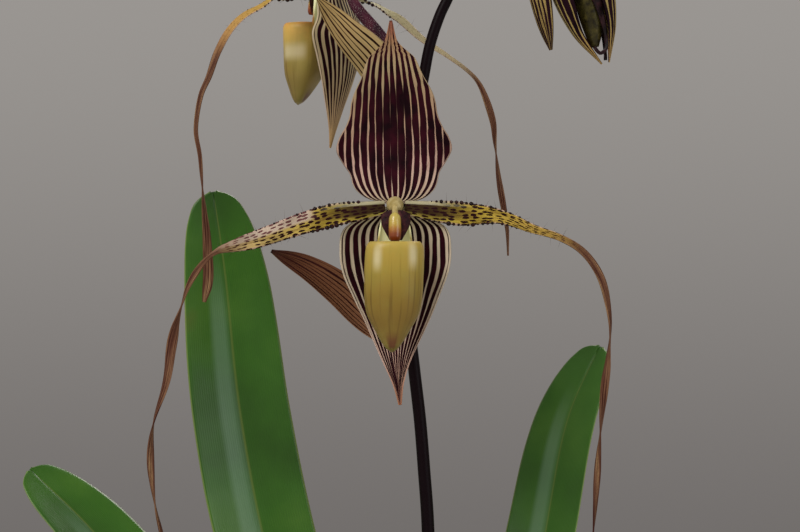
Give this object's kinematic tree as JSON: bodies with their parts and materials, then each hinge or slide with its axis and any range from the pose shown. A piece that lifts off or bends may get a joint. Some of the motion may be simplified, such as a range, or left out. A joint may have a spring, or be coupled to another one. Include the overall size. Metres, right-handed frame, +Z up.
{
  "type": "potted slipper orchid",
  "caption": "Slipper orchid in a plain pot of bark: strap leaves, one dark stem with open striped flowers, hanging ribbon petals and an opening bud.",
  "frame": {"origin": "centre of the pot's underside", "axes": "+Z up; the first flower faces -Y; +X to its viewer's right"},
  "size_m": [0.3356, 0.3065, 0.5717],
  "materials": {
    "pot": "satin",
    "bark": "matte",
    "root": "matte",
    "leaf": "satin",
    "stem": "satin",
    "ovary": "matte",
    "bract": "matte",
    "dorsal_sepal": "satin",
    "synsepal": "satin",
    "petal": "satin",
    "pouch": "gloss",
    "column": "satin",
    "bud_sepal": "satin",
    "bud_petal": "satin",
    "bud_pouch": "satin"
  },
  "bodies": {
    "root": {"pot": "pot", "potting_bark": "bark", "crown_and_roots": "root", "leaf_1": "leaf", "leaf_2": "leaf", "leaf_3": "leaf", "leaf_4": "leaf", "leaf_5": "leaf", "leaf_6": "leaf", "leaf_7": "leaf", "leaf_8": "leaf", "flower_stem": "stem", "ovary_1": "ovary", "ovary_2": "ovary", "ovary_3": "ovary", "bract_1": "bract", "bract_2": "bract", "bract_3": "bract", "flower_1_dorsal_sepal": "dorsal_sepal", "flower_1_synsepal": "synsepal", "flower_1_left_petal": "petal", "flower_1_right_petal": "petal", "flower_1_pouch": "pouch", "flower_1_column": "column", "flower_2_dorsal_sepal": "dorsal_sepal", "flower_2_synsepal": "synsepal", "flower_2_left_petal": "petal", "flower_2_right_petal": "petal", "flower_2_pouch": "pouch", "flower_2_column": "column", "flower_3_dorsal_sepal": "bud_sepal", "flower_3_synsepal": "bud_sepal", "flower_3_left_petal": "bud_petal", "flower_3_right_petal": "bud_petal", "flower_3_pouch": "bud_pouch"}
  },
  "joints": []
}
